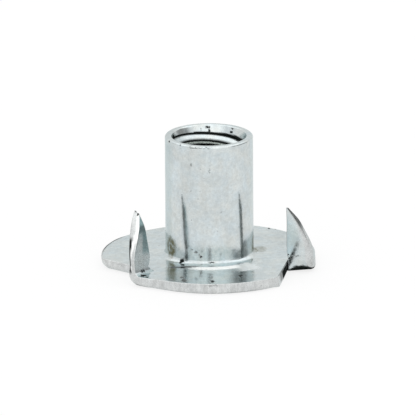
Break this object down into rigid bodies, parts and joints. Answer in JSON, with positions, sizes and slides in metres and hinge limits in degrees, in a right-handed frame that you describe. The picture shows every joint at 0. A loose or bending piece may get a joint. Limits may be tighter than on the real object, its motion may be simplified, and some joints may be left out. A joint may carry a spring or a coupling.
{
  "type": "tee nut",
  "caption": "Tee nut: round sheet flange drawn up into a tapped barrel, with fangs slit from the rim and turned up beside it to bite into wood.",
  "frame": {"origin": "underside of the flange, at the axis of the bore", "axes": "+Z along the bore, from the flange to the mouth of the barrel; +X twelve degrees from the bend line of one fang"},
  "size_m": [0.0192, 0.0191, 0.0121],
  "materials": {
    "zinc_plate": "bright zinc plate, satin"
  },
  "bodies": {
    "root": {"tee_nut": "zinc_plate"}
  },
  "joints": []
}
